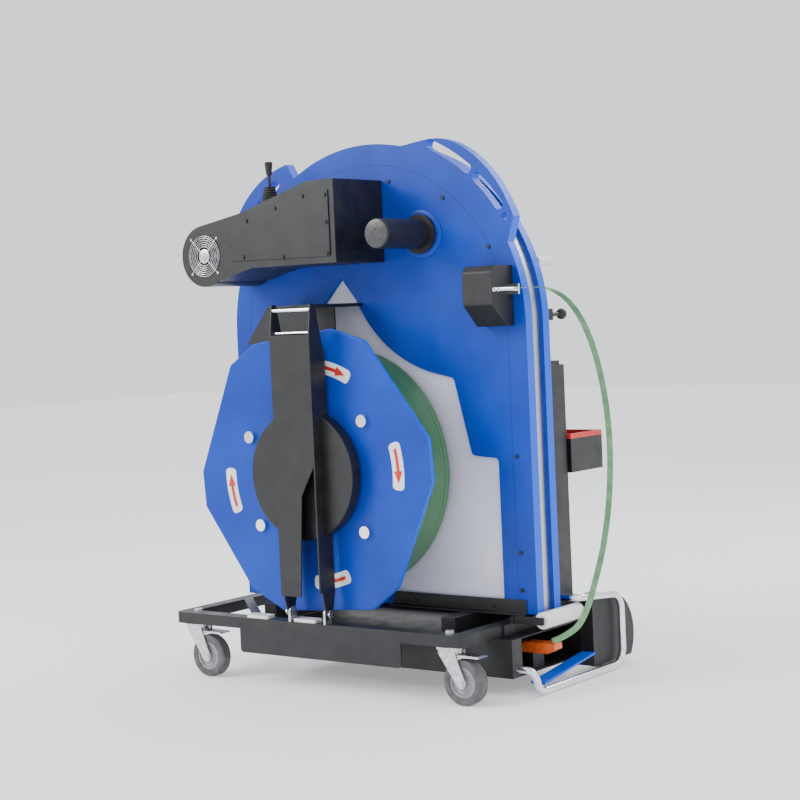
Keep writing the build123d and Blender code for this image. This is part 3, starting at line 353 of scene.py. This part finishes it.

# ------------------------------------------------------------ strap coil
# A wound coil of green strap on a board core. The turns show as fine rings on
# its sides and as lines round its rim, and one gap near the rear is painted shade.
coil_centre = Vector((-0.0645, -0.177, 0.527))
coil_green = surface("coil_green", 0.38, specular=0.55)
where = node(coil_green, "TexCoord")
parts = node(coil_green, "SeparateXYZ")
join(coil_green, (where, "Object"), (parts, "Vector"))
from_x = node(coil_green, "Math", operation="SUBTRACT")
from_x.inputs[1].default_value = coil_centre.x
from_z = node(coil_green, "Math", operation="SUBTRACT")
from_z.inputs[1].default_value = coil_centre.z
join(coil_green, (parts, "X"), (from_x, 0))
join(coil_green, (parts, "Z"), (from_z, 0))
flat = node(coil_green, "CombineXYZ")
join(coil_green, (from_x, 0), (flat, "X"))
join(coil_green, (from_z, 0), (flat, "Z"))
reach = node(coil_green, "VectorMath", operation="LENGTH")
join(coil_green, (flat, "Vector"), (reach, 0))
wound = node(coil_green, "CombineXYZ")
join(coil_green, (reach, "Value"), (wound, "X"))
join(coil_green, (parts, "Y"), (wound, "Y"))
turns = node(coil_green, "TexNoise", scale=520.0, detail=3.0)
join(coil_green, (wound, "Vector"), (turns, "Vector"))
shades = node(coil_green, "ValToRGB")
shades.color_ramp.elements[0].position = 0.3
shades.color_ramp.elements[0].color = (0.018, 0.075, 0.028, 1)
shades.color_ramp.elements[1].position = 0.68
shades.color_ramp.elements[1].color = (0.085, 0.25, 0.10, 1)
join(coil_green, (turns, "Fac"), (shades, "Fac"))
depth_in = node(coil_green, "Math", operation="ADD")
# painted shade: a dark ring round the rim where the gap between the turns lies in shade
gap_shade_mask = level_of(coil_green, depth_in, -0.1395, -0.1380)
depth_in.inputs[1].default_value = 0.0
join(coil_green, (parts, "Y"), (depth_in, 0))
overlay(coil_green, shades, gap_shade_mask, (0.004, 0.012, 0.006))
relief = node(coil_green, "Bump")
relief.inputs["Strength"].default_value = 0.6
relief.inputs["Distance"].default_value = 0.0006
join(coil_green, (turns, "Fac"), (relief, "Height"))
join(coil_green, (relief, "Normal"), (shader_of(coil_green), "Normal"))
finish_nodes(coil_green, "strap_coil")

board = surface("wound_board", 0.85)
mottle(board, (0.30, 0.20, 0.12), (0.46, 0.33, 0.21), 0.01, stretch=(1, 0.1, 1))
grain(board, 0.002, 0.0003)
finish_nodes(board, "coil_core")

# ------------------------------------------------------------ black coat
# Fine textured black powder coat on folded and welded steel: housing, arm,
# frame, column and tray. It shows grey where light grazes it.
black_coat = surface("black_coat", 0.42, specular=0.5)
mottle(black_coat, (0.005, 0.005, 0.006), (0.011, 0.011, 0.012), 0.05)
polish(black_coat, 0.34, 0.50, 0.04)
grain(black_coat, 0.0011, 0.00022, edge=0.0016)
finish_nodes(
    black_coat,
    "control_housing",
    "housing_panel",
    "clamp_arm",
    "brake_disc",
    "arm_catch",
    "base_frame",
    "chain_trough",
    "tool_column",
    "tool_carriage",
    "tool_tray",
    "stick_collar",
)
moulded_black = surface("moulded_black", 0.48, specular=0.45)
mottle(moulded_black, (0.007, 0.007, 0.008), (0.013, 0.013, 0.014), 0.03)
grain(moulded_black, 0.0007, 0.00012, edge=0.0015)
finish_nodes(
    moulded_black,
    "coil_drum",
    "flange_boss",
    "fan_rotor",
    "fan_motor",
    "stick_lever",
    "drive_motor",
    "strap_box",
    "battery",
    "left_wheel_guard",
    "right_wheel_guard",
    "catch_knob",
    "dome_screws",
)

# ------------------------------------------------------------ front flange
# A twelve-cornered plate of blue sheet that holds the coil's front side, turned
# by hand. Its stickers give the turning direction, and four bolts hold its boss.
flange_blue, _ = blue_sheet("flange_sheet")
finish_nodes(flange_blue, "front_flange")
flange_face = -0.266
sticker_white = surface("sticker_vinyl", 0.3)
mottle(sticker_white, (0.74, 0.74, 0.75), (0.84, 0.84, 0.84), 0.04)
grain(sticker_white, 0.004, 0.00004)
arrow_red = surface("arrow_ink", 0.35)
mottle(arrow_red, (0.50, 0.012, 0.010), (0.62, 0.025, 0.02), 0.01)
grain(arrow_red, 0.004, 0.00004)


def around(centre, radius, degrees, y):
    """A point on a circle that lies across Y."""
    angle = math.radians(degrees)
    return Vector((centre[0] + radius * math.cos(angle), y, centre[1] + radius * math.sin(angle)))


def arc_sheet(centre, stations, y, thickness):
    """A thin sheet bent along an arc. Each station is an angle, an inner radius and an outer radius."""
    bm = bmesh.new()
    rows = []
    for degrees, inner, outer in stations:
        rows.append(
            [
                bm.verts.new(around(centre, radius, degrees, place))
                for radius, place in ((inner, y), (outer, y), (outer, y - thickness), (inner, y - thickness))
            ]
        )
    for low, high in zip(rows, rows[1:]):
        for corner in range(4):
            bm.faces.new((low[corner], low[corner - 3], high[corner - 3], high[corner]))
    bm.faces.new(rows[0])
    bm.faces.new(reversed(rows[-1]))
    return bm


hub = (coil_centre.x, coil_centre.z)
sticker_radius = 0.268
sticker_half_width = 0.017
sticker_half_angle = 12.3
vinyl = 0.0003
for number, middle_angle in enumerate((5.0, 73.0, 190.0, 281.0)):
    ends = []
    for step in range(-20, 21):
        share = step / 20
        half = sticker_half_width * (1 - max(0.0, (abs(share) - 0.86) / 0.14) ** 2 * 0.55)
        ends.append((middle_angle + sticker_half_angle * share, sticker_radius - half, sticker_radius + half))
    piece(f"sticker_{number}", "front_flange", arc_sheet(hub, ends, flange_face, vinyl), sticker_white)
    arrow = [(middle_angle + 9.0 - 11.5 * step / 12, 0.2635, 0.2725) for step in range(13)]
    for step in range(9):
        taper = 0.0119 * step / 8
        arrow.append((middle_angle - 2.6 - 6.4 * step / 8, 0.256 + taper, 0.280 - taper))
    piece(f"arrow_{number}", "front_flange", arc_sheet(hub, arrow, flange_face - vinyl, vinyl), arrow_red)

# ------------------------------------------------------------ bright metal
# Zinc-plated pressings and screws, and polished chrome on rods and the bumper.
zinc = surface("zinc_plate", 0.3, metallic=1.0)
mottle(zinc, (0.50, 0.50, 0.51), (0.74, 0.74, 0.75), 0.012)
polish(zinc, 0.2, 0.42, 0.01)
grain(zinc, 0.003, 0.00008, edge=0.0006)
finish_nodes(
    zinc,
    "castor_stems",
    "left_castor_fork",
    "right_castor_fork",
    "left_castor_pedal",
    "right_castor_pedal",
    "hinge_brackets",
    "bearing_block",
    "stick_ball",
    "drum_shaft",
)
chrome = surface("chrome", 0.07, metallic=1.0)
mottle(chrome, (0.78, 0.78, 0.79), (0.86, 0.86, 0.87), 0.03)
polish(chrome, 0.04, 0.13, 0.02)
finish_nodes(chrome, "bumper_loop", "grip_rods", "exit_pins", "flange_bolts")

# ------------------------------------------------------------ fan guard
# Six rings of bright round wire with a pressed hub, welded on crossed wires whose
# ends are screwed to the rounded nose of the housing.
nose = (-0.3745, 1.080)
guard_y = -0.2823
screw_circle = 0.062


def wire_line(bm, line, radius, closed=False):
    """A round wire along a line of points."""
    rows = []
    count = len(line)
    for index, point in enumerate(line):
        before = line[(index - 1) % count] if closed or index else point
        after = line[(index + 1) % count] if closed or index < count - 1 else point
        along = (after - before).normalized()
        first = along.cross(Vector((0, 1, 0))).normalized()
        second = along.cross(first)
        rows.append(
            [
                bm.verts.new(point + radius * (math.cos(turn) * first + math.sin(turn) * second))
                for turn in [math.tau * step / 8 for step in range(8)]
            ]
        )
    pairs = list(zip(rows, rows[1:]))
    if closed:
        pairs.append((rows[-1], rows[0]))
    else:
        bm.faces.new(rows[0])
        bm.faces.new(reversed(rows[-1]))
    for low, high in pairs:
        for corner in range(8):
            bm.faces.new((low[corner], low[corner - 7], high[corner - 7], high[corner]))


def turned(bm, centre, profile, steps=48):
    """A body turned about Y. The profile is a run of (radius, y), closed at both ends on the axis."""
    rows = []
    for radius, y in profile:
        rows.append([bm.verts.new(around(centre, radius, 360 * step / steps, y)) for step in range(steps)])
    for low, high in zip(rows, rows[1:]):
        for corner in range(steps):
            bm.faces.new((low[corner], low[corner - steps + 1], high[corner - steps + 1], high[corner]))
    bm.faces.new(rows[0])
    bm.faces.new(reversed(rows[-1]))


guard = bmesh.new()
for radius in (0.0245, 0.0300, 0.0355, 0.0410, 0.0465, 0.0515):
    wire_line(guard, [around(nose, radius, 7.5 * step, guard_y) for step in range(48)], 0.0009, closed=True)
for degrees in (45, 135, 225, 315):
    spoke = [around(nose, 0.012, degrees, guard_y), around(nose, screw_circle, degrees, guard_y)]
    wire_line(guard, spoke, 0.0011)
    screw = around(nose, screw_circle, degrees, 0).xz
    turned(guard, screw, [(0.0036, -0.281), (0.0036, -0.2822), (0.0022, -0.2834)], 20)
turned(guard, nose, [(0.018, -0.2812), (0.018, -0.2826), (0.016, -0.2833), (0.003, -0.2834)])
fan_wires = piece("fan_wires", "base", guard, zinc)
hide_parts("fan_guard")

# ------------------------------------------------------------ housing details
# Three rows of louvres pressed in the right side of the sheet housing, to let the
# fan's air out.
louvres = bmesh.new()
for row in range(3):
    for column in range(7):
        middle_y = -0.245 + 0.021 * column
        middle_z = 1.045 + 0.020 * row
        slat = bmesh.ops.create_cube(louvres, size=1.0)["verts"]
        bmesh.ops.scale(louvres, verts=slat, vec=(0.0022, 0.0145, 0.0060))
        bmesh.ops.translate(louvres, verts=slat, vec=(0.0561, middle_y, middle_z))
bmesh.ops.bevel(louvres, geom=louvres.edges[:], offset=0.0008, segments=2, affect="EDGES")
piece("housing_louvres", "base", louvres, black_coat)

# ------------------------------------------------------------ drive motor
# A dark grey end cap on the motor's barrel and the blue lip of the hole in the
# cover that it is bolted through.
cap = bmesh.new()
motor_axis = (0.172, 1.104)
cap_profile = [(0.0335, -0.2700), (0.0335, -0.2712), (0.030, -0.2722), (0.011, -0.2722), (0.010, -0.2712)]
turned(cap, motor_axis, cap_profile)
cap_grey = surface("motor_cap_grey", 0.34, metallic=0.4)
mottle(cap_grey, (0.045, 0.045, 0.047), (0.075, 0.075, 0.077), 0.01)
grain(cap_grey, 0.002, 0.0001)
piece("motor_cap", "base", cap, cap_grey)
lip = bmesh.new()
turned(lip, motor_axis, [(0.060, -0.0889), (0.060, -0.0930), (0.057, -0.0950), (0.049, -0.0950)])
piece("motor_lip", "base", lip, plain_blue)

# ------------------------------------------------------------ stick boot
# A folded rubber bellows between the collar and the lever, so that the stick can
# lean any way while dust stays out.
stick_axis = Vector((-0.236, -0.176, 0))
boot_foot = 1.2145
boot_height = 0.0330
folds = bmesh.new()
rows = []
for step in range(29):
    share = step / 28
    radius = 0.0215 - 0.0075 * share + 0.0013 * math.cos(math.tau * 5 * share)
    height = boot_foot + boot_height * share
    rows.append(
        [
            folds.verts.new(stick_axis + Vector((radius * math.cos(turn), radius * math.sin(turn), height)))
            for turn in [math.tau * side / 40 for side in range(40)]
        ]
    )
for low, high in zip(rows, rows[1:]):
    for corner in range(40):
        folds.faces.new((low[corner], low[corner - 39], high[corner - 39], high[corner]))
folds.faces.new(reversed(rows[0]))
folds.faces.new(rows[-1])
soft_black = surface("soft_black_rubber", 0.7)
mottle(soft_black, (0.008, 0.008, 0.008), (0.018, 0.018, 0.018), 0.01)
grain(soft_black, 0.001, 0.0002)
boot = piece("bellows", None, folds, soft_black, smooth_angle=60)
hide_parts("stick_boot")
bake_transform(boot)

# ------------------------------------------------------------ small finishes
# Rubber, nylon and moulded plastic of the small parts.
grey_rubber = surface("grey_tyre_rubber", 0.62)
mottle(grey_rubber, (0.06, 0.06, 0.062), (0.11, 0.11, 0.113), 0.02)
grain(grey_rubber, 0.0014, 0.0003, edge=0.001)
finish_nodes(grey_rubber, "left_castor_tyre", "right_castor_tyre", "left_rear_wheel", "right_rear_wheel")
grey_nylon = surface("grey_hub_nylon", 0.45)
mottle(grey_nylon, (0.20, 0.20, 0.21), (0.30, 0.30, 0.31), 0.02)
grain(grey_nylon, 0.002, 0.0001, edge=0.001)
finish_nodes(grey_nylon, "left_castor_hub", "right_castor_hub")
white_nylon = surface("white_turned_nylon", 0.36)
mottle(white_nylon, (0.72, 0.70, 0.66), (0.86, 0.84, 0.80), 0.03)
grain(white_nylon, 0.001, 0.00008, stretch=(0.2, 4, 0.2), edge=0.001)
finish_nodes(white_nylon, "outlet_roller", "rest_bar", "rest_pads")
orange = surface("orange_moulding", 0.4)
mottle(orange, (0.62, 0.09, 0.012), (0.82, 0.16, 0.03), 0.02)
grain(orange, 0.0012, 0.0001, edge=0.001)
finish_nodes(orange, "lance_head")
chain_red = surface("chain_red_moulding", 0.42)
mottle(chain_red, (0.12, 0.012, 0.01), (0.24, 0.03, 0.022), 0.02)
grain(chain_red, 0.0012, 0.0001, edge=0.001)
finish_nodes(chain_red, "lance_chain")
trim_red = surface("red_edge_trim", 0.38)
mottle(trim_red, (0.55, 0.018, 0.012), (0.75, 0.04, 0.025), 0.02)
grain(trim_red, 0.0012, 0.0001, edge=0.001)
finish_nodes(trim_red, "tray_rim")
ramp_blue, _ = blue_sheet("ramp_sheet")
finish_nodes(ramp_blue, "outlet_ramp")

# ------------------------------------------------------------ studio
# A pale seamless floor with a large soft light over the left shoulder, a weaker
# one on the right and a strip behind that rims the black parts.
floor_mesh = bmesh.new()
bmesh.ops.create_grid(floor_mesh, x_segments=1, y_segments=1, size=14)
floor_sheet = bpy.data.meshes.new("floor")
floor_mesh.to_mesh(floor_sheet)
floor_mesh.free()
floor = bpy.data.objects.new("floor", floor_sheet)
bpy.context.scene.collection.objects.link(floor)
floor_pale = surface("floor_pale", 0.75)
mottle(floor_pale, (0.86, 0.86, 0.87), (0.90, 0.90, 0.91), 2.0)
shader_of(floor_pale).inputs["Emission Color"].default_value = (1, 1, 1, 1)
shader_of(floor_pale).inputs["Emission Strength"].default_value = 0.30
floor_sheet.materials.append(floor_pale)
world = bpy.data.worlds.new("studio")
bpy.context.scene.world = world
world.use_nodes = True
world.node_tree.nodes["Background"].inputs["Color"].default_value = (0.95, 0.97, 1.0, 1)
world.node_tree.nodes["Background"].inputs["Strength"].default_value = 1.35


def soft_light(name, place, aim, size, watts):
    """A square soft light at a place, turned to an aim."""
    lamp = bpy.data.lights.new(name, "AREA")
    lamp.shape = "RECTANGLE"
    lamp.size = size[0]
    lamp.size_y = size[1]
    lamp.energy = watts
    made = bpy.data.objects.new(name, lamp)
    made.location = place
    made.rotation_mode = "QUATERNION"
    made.rotation_quaternion = (Vector(aim) - Vector(place)).to_track_quat("-Z", "Y")
    bpy.context.scene.collection.objects.link(made)


middle = (0, -0.05, 0.65)
soft_light("key", (-2.6, -3.2, 3.0), middle, (1.9, 1.9), 150)
soft_light("side", (3.6, -1.2, 2.0), middle, (1.6, 2.4), 26)
soft_light("back", (0.8, 3.2, 2.8), middle, (3.0, 1.2), 60)
